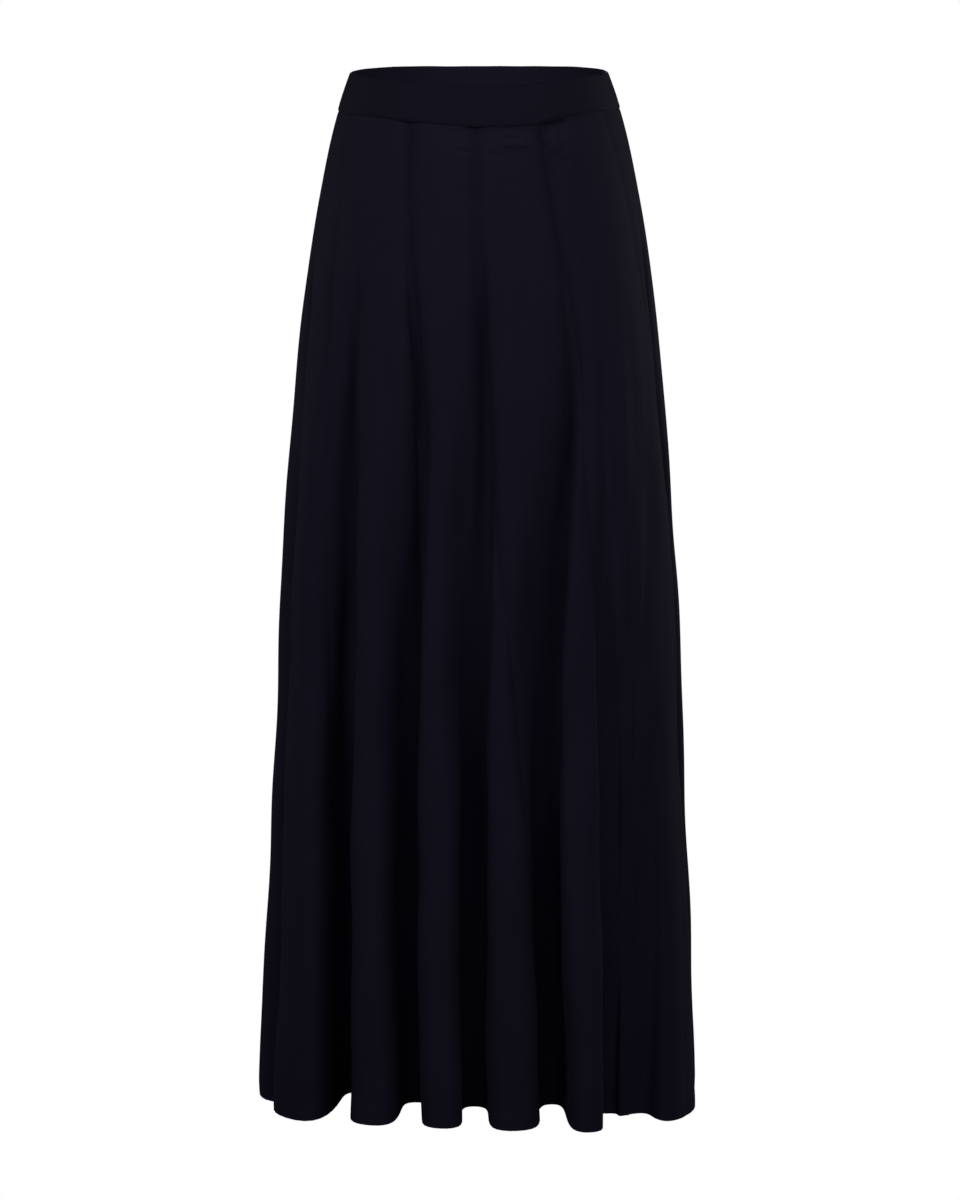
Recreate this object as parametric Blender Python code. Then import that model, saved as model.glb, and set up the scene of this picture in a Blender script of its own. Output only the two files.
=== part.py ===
"""A-line maxi skirt: twelve flared gores that hang in soft, deep folds from a plain waistband.

It is modelled as worn, hollow and open at the waist and at the hem. Metres, +Z up; the front faces -Y
and +X is to the right of the front view. The origin is the middle of the waist, half way up the band.
Run it with: blender --background --python part.py
"""

import math
from collections import namedtuple

import bmesh
import bpy
import numpy as np

# ---------------------------------------------------------------- driving sizes

CLOTH_WALL = 0.0016
BAND_WALL = 0.0030
BAND_PROUD = 0.0008  # how far the band stands out past the gores that hang from it
SEAM_GAP = 0.0003

HEM_HEIGHT = -0.9620
HEM_SIDE_DROP = 0.0200  # the bias at the sides lets the hem hang lower there
HEM_DROP_POWER = 8  # and only close to the sides

GORE_COLUMNS_PER_FOLD = 13
GORE_LEVELS = (0, 0.04, 0.09, 0.15, 0.21, 0.28, 0.35, 0.43, 0.51, 0.59, 0.67, 0.75, 0.83, 0.91, 1)
BAND_COLUMNS = 40  # in each half of the band
BAND_EDGE_POINTS = 6  # round its top edge
BAND_STEPS = (0.0, 0.35, 0.7)  # shares of its height that carry points, below the top edge
SMOOTH_BELOW = 40  # degrees between faces
SIDE_ANGLE = 90.0  # degrees round from the front, where the two halves of the band meet
SMALL_STEP = 0.001  # of a fold or of the length, to measure slopes with
SMALL_TURN = math.radians(0.05)  # round the oval, to measure slopes with

# The oval that the fold ridges touch, from the band's rim down to the hem. middle_y is where it is widest,
# front and back are measured from there, and squareness 2 is an ellipse.
Section = namedtuple("Section", "name z half_width front back middle_y squareness")
SECTIONS = (
    Section("rim", 0.0208, 0.1165, 0.088, 0.088, 0.000, 2.00),
    Section("waist_seam", -0.0180, 0.1297, 0.098, 0.099, 0.000, 2.00),
    Section("high_hip", -0.0955, 0.1476, 0.110, 0.118, 0.000, 2.05),
    Section("hip", -0.1880, 0.1626, 0.118, 0.138, -0.002, 2.12),
    Section("thigh", -0.3295, 0.1785, 0.119, 0.152, -0.008, 2.30),
    Section("knee", -0.5730, 0.1945, 0.117, 0.162, -0.014, 2.45),
    Section("calf", -0.7750, 0.2069, 0.118, 0.168, -0.018, 2.50),
    Section("hem", -0.9680, 0.2165, 0.119, 0.173, -0.020, 2.50),
)

# The heights of the band's two edges round the waist, by the angle in degrees: 0 at the front and 90 at +X.
BandEdge = namedtuple("BandEdge", "angle foot rim")
BAND_EDGES = (
    BandEdge(-180, -0.0194, 0.0160),
    BandEdge(-165, -0.0194, 0.0160),
    BandEdge(-120, -0.0172, 0.0180),
    BandEdge(-90, -0.0162, 0.0184),
    BandEdge(-60, -0.0146, 0.0190),
    BandEdge(-30, -0.0175, 0.0160),
    BandEdge(0, -0.0200, 0.0155),
    BandEdge(25, -0.0195, 0.0155),
    BandEdge(40, -0.0150, 0.0180),
    BandEdge(60, -0.0110, 0.0200),
    BandEdge(90, -0.0140, 0.0192),
    BandEdge(120, -0.0165, 0.0184),
    BandEdge(165, -0.0194, 0.0160),
    BandEdge(180, -0.0194, 0.0160),
)

# One row for each valley between two ridges, round from the left side past the front. The angles place its
# mouth at the heights in ANGLE_SHARES, 0 at the front and 90 at +X. depth and mouth are the valley's size at
# the hem. knee_lean and hem_lean move its floor round towards +angle. ridge_out moves the ridge that follows
# out past the oval, and start is how far down the skirt the valley begins, as a share of the length.
Fold = namedtuple("Fold", "name waist hip knee hem depth mouth knee_lean hem_lean ridge_out start")
KNEE_SHARE = 0.5
ANGLE_SHARES = (0.0, 0.23, KNEE_SHARE, 1.0)
FOLDS = (
    Fold("front_left_edge", -82, -81, -83, -84.5, 0.062, 0.030, 0.012, 0.014, -0.008, 0.13),
    Fold("front_left", -50, -53.5, -55.5, -56.3, 0.080, 0.034, 0.006, -0.005, -0.003, 0.15),
    Fold("centre_left", -36.3, -27, -33.0, -32.0, 0.062, 0.026, 0.015, 0.003, -0.001, 0.15),
    Fold("centre", -2.4, 0.5, -4.2, -1.5, 0.054, 0.026, 0.010, -0.001, 0.005, 0.14),
    Fold("centre_right", 31.8, 37.2, 27.3, 32.0, 0.058, 0.026, 0.012, 0.003, 0.013, 0.17),
    Fold("front_right", 48, 48.5, 51.0, 51.5, 0.028, 0.024, -0.003, -0.002, -0.024, 0.34),
    Fold("front_right_soft", 60, 62, 63.0, 62.5, 0.026, 0.026, 0.000, 0.000, -0.004, 0.45),
    Fold("front_right_edge", 80, 80, 85.0, 89.0, 0.040, 0.022, -0.002, -0.002, -0.002, 0.12),
    Fold("side_right", 100, 100, 101, 104, 0.046, 0.026, 0.002, 0.000, -0.004, 0.10),
    Fold("back_right_1", 117, 117, 116, 117, 0.056, 0.026, -0.006, 0.004, 0.000, 0.14),
    Fold("back_right_2", 134, 134, 134, 133, 0.060, 0.027, -0.004, 0.003, 0.003, 0.11),
    Fold("back_right_3", 153, 153, 152, 150, 0.052, 0.024, 0.005, 0.000, -0.003, 0.17),
    Fold("back_right_4", 170, 170, 171, 169, 0.060, 0.027, 0.007, -0.002, 0.002, 0.12),
    Fold("back_left_4", 188, 188, 187, 188, 0.056, 0.026, -0.006, 0.002, -0.002, 0.15),
    Fold("back_left_3", 206, 206, 207, 206, 0.062, 0.027, -0.005, 0.000, 0.003, 0.12),
    Fold("back_left_2", 224, 224, 224, 224, 0.054, 0.025, 0.006, -0.003, -0.003, 0.16),
    Fold("back_left_1", 241, 241, 242, 241, 0.058, 0.026, 0.004, -0.004, 0.000, 0.12),
    Fold("side_left", 258, 258, 258, 257, 0.046, 0.026, -0.003, 0.000, 0.000, 0.10),
)
FOLD_SOFTNESS = 0.14  # how gently a fold starts, as a share of the length
FOLD_HASTE = 0.72  # below 1 a fold deepens more quickly near its start than near the hem
WALL_STEEPNESS = 1.0  # 1 makes a fold's walls stand square to the oval at the hem
WALL_HASTE = 2.0  # how many times sooner than the depth that steepness is reached
BOXINESS = 0.9  # 0 makes a fold a cosine wave, and more makes its floor and ridge flatter
DEEP_FOLD = 0.040  # a fold shallower than this has walls that slope in proportion
CREASE_DEPTH = 0.006  # the sharp crease along a valley's floor, where the fold is still shallow
CREASE_WIDTH = 0.28  # its half width, as a share of the way from the floor to the ridge
CREASE_TOP_WIDTH = 0.15  # and where it begins
CREASE_OPENING = 0.25  # the share of the length over which it widens
SHELF_DEPTH = 0.010  # the most of a shallow step in the wall on a valley's -angle side
SHELF_SHARE = 0.30  # and the most of it as a share of half a fold
SHELF_FOLD = 0.054  # folds this deep have the whole step, and those no deeper than DEEP_FOLD have none
SHELF_SKEW = 1.45  # 1 puts it half way up that wall, and more nearer to the ridge
PINCH = 0.30  # how far a young valley's walls draw in to its crease, as a share of half a fold

# Those three come and go down the skirt: each begins lead sooner than its fold, comes on over rise, and
# fades from end over fade, all as shares of the length.
Spell = namedtuple("Spell", "lead rise end fade")
CREASE_SPELL = Spell(0.06, 0.14, 0.33, 0.25)
SHELF_SPELL = Spell(-0.06, 0.20, 0.50, 0.22)
PINCH_SPELL = Spell(0.02, 0.15, 0.45, 0.20)

# Where each seam crosses the folds at five heights: 3.0 is the floor of the fourth valley in FOLDS and 3.5 is
# the ridge after it. Each gore runs from its own seam to the next one.
Gore = namedtuple("Gore", "name waist hip thigh knee hem")
SEAM_SHARES = (0.0, 0.11, 0.23, 0.50, 1.0)  # the heights of those five columns
GORES = (
    Gore("gore_front_1", -1.10, -1.08, -1.05, -1.00, -1.00),
    Gore("gore_front_2", 0.33, 0.58, 0.60, 0.66, 1.10),
    Gore("gore_front_3", 2.00, 1.98, 1.90, 2.00, 2.10),
    Gore("gore_front_4", 3.00, 3.00, 3.10, 3.53, 3.80),
    Gore("gore_front_5", 4.00, 4.03, 4.26, 4.78, 4.95),
    Gore("gore_front_6", 6.40, 6.58, 6.62, 6.55, 6.50),
    Gore("gore_back_1", 8.10, 8.10, 8.10, 8.05, 8.00),
    Gore("gore_back_2", 9.60, 9.60, 9.60, 9.60, 9.50),
    Gore("gore_back_3", 11.05, 11.05, 11.05, 11.00, 11.00),
    Gore("gore_back_4", 12.50, 12.50, 12.50, 12.50, 12.50),
    Gore("gore_back_5", 13.95, 13.95, 13.95, 14.00, 14.00),
    Gore("gore_back_6", 15.40, 15.40, 15.40, 15.40, 15.50),
)

NAVY_CLOTH = (0.0078, 0.0070, 0.0154, 1.0)
NAVY_BAND = (0.0057, 0.0049, 0.0116, 1.0)
CLOTH_ROUGHNESS = 0.80
BAND_ROUGHNESS = 0.74


# ---------------------------------------------------------------- smooth curves through the tables


def ease(share):
    """An S-shaped rise from 0 to 1 that is level at both ends."""
    share = np.clip(share, 0.0, 1.0)
    return share * share * (3.0 - 2.0 * share)


def hermite(low, high, low_slope, high_slope, share):
    """The cubic from low to high with those slopes, at a share of the way."""
    square, cube = share * share, share**3
    return (
        (2 * cube - 3 * square + 1) * low
        + (cube - 2 * square + share) * low_slope
        + (3 * square - 2 * cube) * high
        + (cube - square) * high_slope
    )


def through(knots, values, wanted):
    """A smooth curve through a column of a table, whose knots rise."""
    knots, values = np.asarray(knots, float), np.asarray(values, float)
    slopes = np.gradient(values, knots)
    wanted = np.clip(wanted, knots[0], knots[-1])
    row = np.clip(np.searchsorted(knots, wanted, side="right") - 1, 0, len(knots) - 2)
    step = knots[row + 1] - knots[row]
    share = (wanted - knots[row]) / step
    return hermite(values[row], values[row + 1], slopes[row] * step, slopes[row + 1] * step, share)


def round_the_folds(values, turn, phase):
    """A smooth closed curve through one value for each valley; turn is what one whole round adds."""
    count = len(FOLDS)
    row = np.floor(phase).astype(int)

    def value(index):
        return values[index % count, np.arange(len(phase))] + turn * (index // count)

    before, low, high, after = (value(row + step) for step in (-1, 0, 1, 2))
    return hermite(low, high, (high - before) / 2, (after - low) / 2, phase - row)


# ---------------------------------------------------------------- the oval and its folds


def section_column(column, z):
    """One column of SECTIONS at these heights."""
    heights = [-section.z for section in SECTIONS]
    return through(heights, [getattr(section, column) for section in SECTIONS], -z)


def oval_point(angle, z):
    """The point of the oval at this angle and height, as x and y."""
    across, ahead = np.sin(angle), np.cos(angle)
    power = section_column("squareness", z)
    depth = np.where(ahead > 0, section_column("front", z), section_column("back", z))
    reach = (
        np.abs(across / section_column("half_width", z)) ** power + np.abs(ahead / depth) ** power
    ) ** (-1.0 / power)
    return np.stack([reach * across, section_column("middle_y", z) - reach * ahead], axis=-1)


def oval_directions(angle, z):
    """The unit directions along the oval and in through it, as x and y."""
    along = oval_point(angle + SMALL_TURN, z) - oval_point(angle - SMALL_TURN, z)
    along /= np.linalg.norm(along, axis=-1, keepdims=True)
    return along, np.stack([-along[:, 1], along[:, 0]], axis=-1)


def band_edge(column, angle):
    """The height of the band's foot or rim at these angles, in radians."""
    degrees = (np.degrees(angle) + 180.0) % 360.0 - 180.0
    heights = [getattr(edge, column) for edge in BAND_EDGES]
    return through([edge.angle for edge in BAND_EDGES], heights, degrees)


def fold_column(column):
    """One column of FOLDS, one row for each valley."""
    return np.array([getattr(fold, column) for fold in FOLDS], float)[:, None]


def mouth_angles(share):
    """The angle of every valley's mouth at these heights, one row for each valley, in radians."""
    table = [[fold.waist, fold.hip, fold.knee, fold.hem] for fold in FOLDS]
    return np.radians(np.stack([through(ANGLE_SHARES, row, share) for row in table]))


def fold_lean(share):
    """How far every valley's floor has moved round at these heights, one row for each valley."""
    start, at_knee, at_hem = (fold_column(name) for name in ("start", "knee_lean", "hem_lean"))
    to_knee = ease((share - start) / (KNEE_SHARE - start))
    to_hem = ease((share - KNEE_SHARE) / (1.0 - KNEE_SHARE))
    return at_knee * to_knee + (at_hem - at_knee) * to_hem


def fold_growth(share):
    """How far every fold has grown at these heights, from 0 where it starts to 1 at the hem."""
    start = fold_column("start")
    grown = np.clip((share - start) / (1.0 - start), 0.0, 1.0)
    return (grown * grown / (grown + FOLD_SOFTNESS) * (1.0 + FOLD_SOFTNESS)) ** FOLD_HASTE


def present(spell, share):
    """How much of a passing shape every valley has at these heights, one row for each valley."""
    start = fold_column("start") - spell.lead
    return ease((share - start) / spell.rise) * (1.0 - ease((share - spell.end) / spell.fade))


def crease_width(share):
    """The half width of every valley's crease, which opens on its way down."""
    start = fold_column("start") - CREASE_SPELL.lead
    return CREASE_TOP_WIDTH + (CREASE_WIDTH - CREASE_TOP_WIDTH) * ease((share - start) / CREASE_OPENING)


def cloth_plan(phase, share, z):
    """x and y of the cloth at these fold phases, shares of the length and heights.

    Half a fold runs from a valley's floor to the ridge. It goes in through the oval as half a cosine wave,
    while it moves along the oval evenly, plus one sine wave that makes the walls steep and half a sine wave
    that makes the valley narrower than the ridge. High up, a crease sharpens the floor, its walls draw in
    to it, and the wall before it has a shelf.
    """
    columns = np.arange(len(phase))
    count = len(FOLDS)
    angles = mouth_angles(share)
    growth = fold_growth(share)
    row = np.floor(phase).astype(int)
    local = phase - row
    past_ridge = local > 0.5
    valley = (row + past_ridge) % count
    from_floor = np.where(past_ridge, 1.0 - local, local) * 2.0  # 0 at the floor, 1 at the ridge
    outward = np.where(past_ridge, -1.0, 1.0)  # which way round the ridge lies

    angle = round_the_folds(angles, 2 * math.pi, phase)
    valley_angle = round_the_folds(angles, 2 * math.pi, (row + past_ridge).astype(float))
    ridge_angle = round_the_folds(angles, 2 * math.pi, row + 0.5)
    half_fold = np.linalg.norm(oval_point(ridge_angle, z) - oval_point(valley_angle, z), axis=-1)

    def of_valley(name):
        return fold_column(name)[valley, 0]

    grown = growth[valley, columns]
    depth = of_valley("depth")
    deep = np.minimum(depth / DEEP_FOLD, 1.0)
    floor_share = 0.5 + 0.5 * np.tanh(BOXINESS * np.cos(math.pi * from_floor)) / math.tanh(BOXINESS)
    inward = grown * depth * floor_share
    creased, shelved, pinched = (
        present(spell, share)[valley, columns] for spell in (CREASE_SPELL, SHELF_SPELL, PINCH_SPELL)
    )
    crease = np.exp(-((from_floor / crease_width(share)[valley, columns]) ** 2))
    shelf = np.minimum(SHELF_DEPTH, SHELF_SHARE * half_fold) * np.sin(math.pi * from_floor**SHELF_SKEW) ** 2
    shelf *= past_ridge * np.interp(depth, (DEEP_FOLD, SHELF_FOLD), (0.0, 1.0))
    inward += deep * CREASE_DEPTH * creased * crease + shelved * shelf
    ridge_grown = 0.5 * (growth[row % count, columns] + growth[(row + 1) % count, columns])
    inward -= ridge_grown * fold_column("ridge_out")[row % count, 0] * (1.0 - floor_share)

    upright = np.minimum(WALL_HASTE * grown, 1.0)
    steep = WALL_STEEPNESS * half_fold / (2 * math.pi) * upright
    narrow = 0.5 * (of_valley("mouth") - half_fold) * grown - PINCH * half_fold * pinched * (1.0 - upright)
    along = steep * np.sin(2 * math.pi * from_floor) + narrow * np.sin(math.pi * from_floor)
    along = outward * along * deep + fold_lean(share)[valley, columns] * floor_share

    tangent, normal = oval_directions(angle, z)
    return oval_point(angle, z) + tangent * along[:, None] + normal * inward[:, None]


def cloth_point(phase, share):
    """The outer face of the skirt at these fold phases and shares of its length, as x, y and z."""
    phase, share = np.broadcast_arrays(np.asarray(phase, float), np.asarray(share, float))
    shape = phase.shape
    phase, share = phase.ravel(), share.ravel()
    angle = round_the_folds(mouth_angles(share), 2 * math.pi, phase)
    top = band_edge("foot", angle) - SEAM_GAP
    hem = HEM_HEIGHT - HEM_SIDE_DROP * np.sin(angle) ** HEM_DROP_POWER
    z = top + (hem - top) * share
    return np.column_stack([cloth_plan(phase, share, z), z]).reshape(shape + (3,))


def cloth_inward(phase, share):
    """The unit direction through the cloth, from its outer face to its inner one."""
    low, high = np.clip(share - SMALL_STEP, 0, 1), np.clip(share + SMALL_STEP, 0, 1)
    round_it = cloth_point(phase + SMALL_STEP, share) - cloth_point(phase - SMALL_STEP, share)
    down_it = cloth_point(phase, high) - cloth_point(phase, low)
    inward = np.cross(down_it, round_it)
    return -inward / np.linalg.norm(inward, axis=-1, keepdims=True)


# ---------------------------------------------------------------- making solids


def material(name, colour, roughness):
    made = bpy.data.materials.new(name)
    made.use_nodes = True
    shader = made.node_tree.nodes["Principled BSDF"]
    shader.inputs["Base Color"].default_value = colour
    shader.inputs["Roughness"].default_value = roughness
    shader.inputs["Metallic"].default_value = 0.0
    made.diffuse_color = colour
    return made


def swept_solid(name, rings, surface):
    """A closed solid swept through rings of points, each a closed loop that doubles back on itself."""
    ring_count, ring_size = rings.shape[:2]
    corner = np.arange(ring_count * ring_size).reshape(ring_count, ring_size)
    onward = np.roll(corner, -1, axis=1)
    sides = np.stack([corner[:-1], corner[1:], onward[1:], onward[:-1]], axis=-1).reshape(-1, 4)
    half = ring_size // 2
    there, back = corner[:, :half], corner[:, ::-1][:, :half]
    ends = [
        np.stack([there[0, :-1], there[0, 1:], back[0, 1:], back[0, :-1]], axis=-1),
        np.stack([there[-1, 1:], there[-1, :-1], back[-1, :-1], back[-1, 1:]], axis=-1),
    ]
    shape = bmesh.new()
    points = [shape.verts.new(point) for point in rings.reshape(-1, 3).tolist()]
    for face in np.concatenate([sides, *ends]).tolist():
        shape.faces.new([points[index] for index in face])
    # The shorter diagonal of a slanting four-sided face runs along the fold, so the fold's walls stay smooth.
    bmesh.ops.triangulate(shape, faces=shape.faces, quad_method="SHORT_EDGE")
    bmesh.ops.recalc_face_normals(shape, faces=shape.faces)
    mesh = bpy.data.meshes.new(name)
    shape.to_mesh(mesh)
    shape.free()
    mesh.shade_smooth()
    mesh.set_sharp_from_angle(angle=math.radians(SMOOTH_BELOW))
    mesh.materials.append(surface)
    made = bpy.data.objects.new(name, mesh)
    bpy.context.scene.collection.objects.link(made)
    return made


# ---------------------------------------------------------------- the pieces


def make_gore(gore, following, turns, surface):
    """One panel, from its own seam to the next one. Its rings run down the outer face and back up inside."""
    levels = np.array(GORE_LEVELS)
    left = through(SEAM_SHARES, gore[1:], levels)
    right = through(SEAM_SHARES, following[1:], levels) + turns * len(FOLDS)
    columns = round(GORE_COLUMNS_PER_FOLD * float((right - left).mean()))
    across = np.linspace(0.0, 1.0, columns + 1)[:, None]
    phase = left + (right - left) * across

    def metres_per_fold(seam):
        step = cloth_point(seam + SMALL_STEP, levels) - cloth_point(seam, levels)
        return np.linalg.norm(step, axis=-1) / SMALL_STEP

    phase += (1.0 - across) * 0.5 * SEAM_GAP / metres_per_fold(left)
    phase -= across * 0.5 * SEAM_GAP / metres_per_fold(right)
    share = np.broadcast_to(levels, phase.shape)
    outer = cloth_point(phase, share)
    inner = outer + CLOTH_WALL * cloth_inward(phase, share)
    inner[:, 0, 2] = outer[:, 0, 2]  # the top edge lies level, under the band
    inner[:, -1, 2] = outer[:, -1, 2]  # and so does the hem
    rings = np.concatenate([outer, inner[:, ::-1]], axis=1)
    return swept_solid(gore.name, rings, surface)


def make_band(name, middle_deg, surface):
    """Half of the waistband: a flat band with a rounded top edge, swept round half of the oval."""
    gap_angle = 0.5 * SEAM_GAP / SECTIONS[0].front
    half_turn = math.radians(SIDE_ANGLE) - gap_angle
    angle = math.radians(middle_deg) + np.linspace(-half_turn, half_turn, BAND_COLUMNS + 1)
    round_over = 0.5 * BAND_WALL
    middle = BAND_PROUD - round_over
    # Each row is (how far out from the oval, share of the band's height, drop below the rim).
    profile = [(BAND_PROUD, share, 0.0) for share in BAND_STEPS]
    for turn in np.linspace(0.0, math.pi, BAND_EDGE_POINTS):
        profile.append((middle + round_over * math.cos(turn), 1.0, round_over * (1.0 - math.sin(turn))))
    profile += [(BAND_PROUD - BAND_WALL, share, 0.0) for share in reversed(BAND_STEPS)]
    rings = []
    for reach, share, drop in profile:
        low, high = band_edge("foot", angle), band_edge("rim", angle)
        z = low + (high - low) * share - drop
        _, inward = oval_directions(angle, z)
        rings.append(np.column_stack([oval_point(angle, z) - inward * reach, z]))
    return swept_solid(name, np.stack(rings, axis=1), surface)


def clear_scene():
    for existing in list(bpy.data.objects):
        bpy.data.objects.remove(existing)


def main():
    clear_scene()
    cloth = material("navy_crepe", NAVY_CLOTH, CLOTH_ROUGHNESS)
    band_cloth = material("navy_band", NAVY_BAND, BAND_ROUGHNESS)
    make_band("waistband_front", 0.0, band_cloth)
    make_band("waistband_back", 180.0, band_cloth)
    for number, gore in enumerate(GORES):
        following = GORES[(number + 1) % len(GORES)]
        make_gore(gore, following, (number + 1) // len(GORES), cloth)


main()
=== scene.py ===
# %% [markdown]
# # An a-line maxi skirt in dark navy crepe
#
# The skirt is cut from twelve flared gores that hang from a plain waistband. A gore is a long panel, narrow
# at the waist and wide at the hem, and the extra width falls into soft, deep folds. The imported solids
# already have the right form as stiff walls. This script replaces each of them with real cloth: thinner,
# finer, creased, sewn at the seams, turned up at the hem and coloured with a woven material. Then
# it lights the skirt. "Left" and "right" are those of the front view. Lengths are in metres, and MM makes
# them from millimetres.

# %% Load the imported model and keep its box
import math
from collections import namedtuple

import bpy
import numpy as np
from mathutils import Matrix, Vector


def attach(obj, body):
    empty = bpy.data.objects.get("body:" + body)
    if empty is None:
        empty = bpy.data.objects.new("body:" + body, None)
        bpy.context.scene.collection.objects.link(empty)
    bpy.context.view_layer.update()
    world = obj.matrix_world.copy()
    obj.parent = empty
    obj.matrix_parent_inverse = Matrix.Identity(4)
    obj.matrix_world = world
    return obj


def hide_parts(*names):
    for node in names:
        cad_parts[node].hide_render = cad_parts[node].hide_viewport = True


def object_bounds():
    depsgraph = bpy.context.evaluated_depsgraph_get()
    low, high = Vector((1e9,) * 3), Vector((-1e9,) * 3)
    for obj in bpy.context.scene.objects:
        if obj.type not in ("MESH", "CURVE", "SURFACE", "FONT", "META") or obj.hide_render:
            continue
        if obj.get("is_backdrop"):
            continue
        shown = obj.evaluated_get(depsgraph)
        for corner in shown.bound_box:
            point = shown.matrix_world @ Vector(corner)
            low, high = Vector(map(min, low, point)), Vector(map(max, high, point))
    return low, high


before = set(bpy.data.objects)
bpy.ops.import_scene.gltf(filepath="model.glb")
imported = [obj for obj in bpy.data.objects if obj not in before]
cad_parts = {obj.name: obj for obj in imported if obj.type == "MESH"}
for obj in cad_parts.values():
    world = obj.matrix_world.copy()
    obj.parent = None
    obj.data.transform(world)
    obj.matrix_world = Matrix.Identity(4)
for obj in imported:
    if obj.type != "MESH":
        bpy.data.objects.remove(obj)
CAD_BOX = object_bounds()
BODY = "root"
MM = 0.001
print("nodes:", ", ".join(sorted(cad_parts)))

# %% [markdown]
# ## The camera
#
# The photograph looks slightly down on the skirt from three metres away, through a long lens, so the waist
# shows as a flat oval and the sides hardly converge. A camera could be aimed with a Track To constraint.
# Here its place and its tilt are plain numbers, because they were fitted to the ovals of the waist and the
# hem.

# %% Place the camera
LENS, FRAME_SIDE = 97.7, 36.0
CAMERA_PLACE = (0.0005, -3.0, 0.304)
LOOKS_DOWN = 14.64  # degrees
camera_data = bpy.data.cameras.new("camera")
camera = bpy.data.objects.new("camera", camera_data)
bpy.context.scene.collection.objects.link(camera)
camera_data.lens = LENS
camera_data.sensor_fit = "VERTICAL"
camera_data.sensor_width = camera_data.sensor_height = FRAME_SIDE
camera.location = CAMERA_PLACE
camera.rotation_euler = (math.radians(90.0 - LOOKS_DOWN), 0.0, 0.0)
bpy.context.scene.camera = camera
print(f"a {LENS} mm lens that looks {LOOKS_DOWN} degrees down")

# %% [markdown]
# ## The sizes of the skirt
#
# A table is the plainest way to write down a shape that was measured at a few places. BAND_EDGES gives the
# heights of the waistband's lower and upper edge by the angle round the waist. SECTIONS gives the oval that
# the ridges of the folds touch, from the band's top edge to the hem. FOLDS has one row for each valley
# between two ridges. GORES says where each panel's first seam crosses the folds: 3.0 is the floor of the
# fourth valley and 3.5 the ridge after it. They are the same numbers that the solids were made from, so the
# cloth lies on them.

# %% The band's edges, the ovals and the hem
BandEdge = namedtuple("BandEdge", "angle foot rim")
BAND_EDGES = (
    BandEdge(-180, -0.0194, 0.0160),
    BandEdge(-165, -0.0194, 0.0160),
    BandEdge(-120, -0.0172, 0.0180),
    BandEdge(-90, -0.0162, 0.0184),
    BandEdge(-60, -0.0146, 0.0190),
    BandEdge(-30, -0.0175, 0.0160),
    BandEdge(0, -0.0200, 0.0155),
    BandEdge(25, -0.0195, 0.0155),
    BandEdge(40, -0.0150, 0.0180),
    BandEdge(60, -0.0110, 0.0200),
    BandEdge(90, -0.0140, 0.0192),
    BandEdge(120, -0.0165, 0.0184),
    BandEdge(165, -0.0194, 0.0160),
    BandEdge(180, -0.0194, 0.0160),
)

Section = namedtuple("Section", "name z half_width front back middle_y squareness")
SECTIONS = (
    Section("rim", 0.0208, 0.1165, 0.088, 0.088, 0.000, 2.00),
    Section("waist_seam", -0.0180, 0.1297, 0.098, 0.099, 0.000, 2.00),
    Section("high_hip", -0.0955, 0.1476, 0.110, 0.118, 0.000, 2.05),
    Section("hip", -0.1880, 0.1626, 0.118, 0.138, -0.002, 2.12),
    Section("thigh", -0.3295, 0.1785, 0.119, 0.152, -0.008, 2.30),
    Section("knee", -0.5730, 0.1945, 0.117, 0.162, -0.014, 2.45),
    Section("calf", -0.7750, 0.2069, 0.118, 0.168, -0.018, 2.50),
    Section("hem", -0.9680, 0.2165, 0.119, 0.173, -0.020, 2.50),
)
HEM_HEIGHT = -0.9620
HEM_SIDE_DROP = 0.0200  # the hem hangs this much lower at the sides
HEM_DROP_POWER = 8  # and a high power keeps that close to them
print(len(BAND_EDGES), "places round the band and", len(SECTIONS), "ovals")

# %% [markdown]
# Each row of FOLDS places a valley's mouth at four heights, in degrees from the front, then gives its depth
# and its mouth at the hem, how far its floor leans round at the knee and at the hem, how far the next ridge
# stands out past the oval, and where on the length the valley starts. The shares of the length run from 0
# at the band to 1 at the hem.

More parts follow.
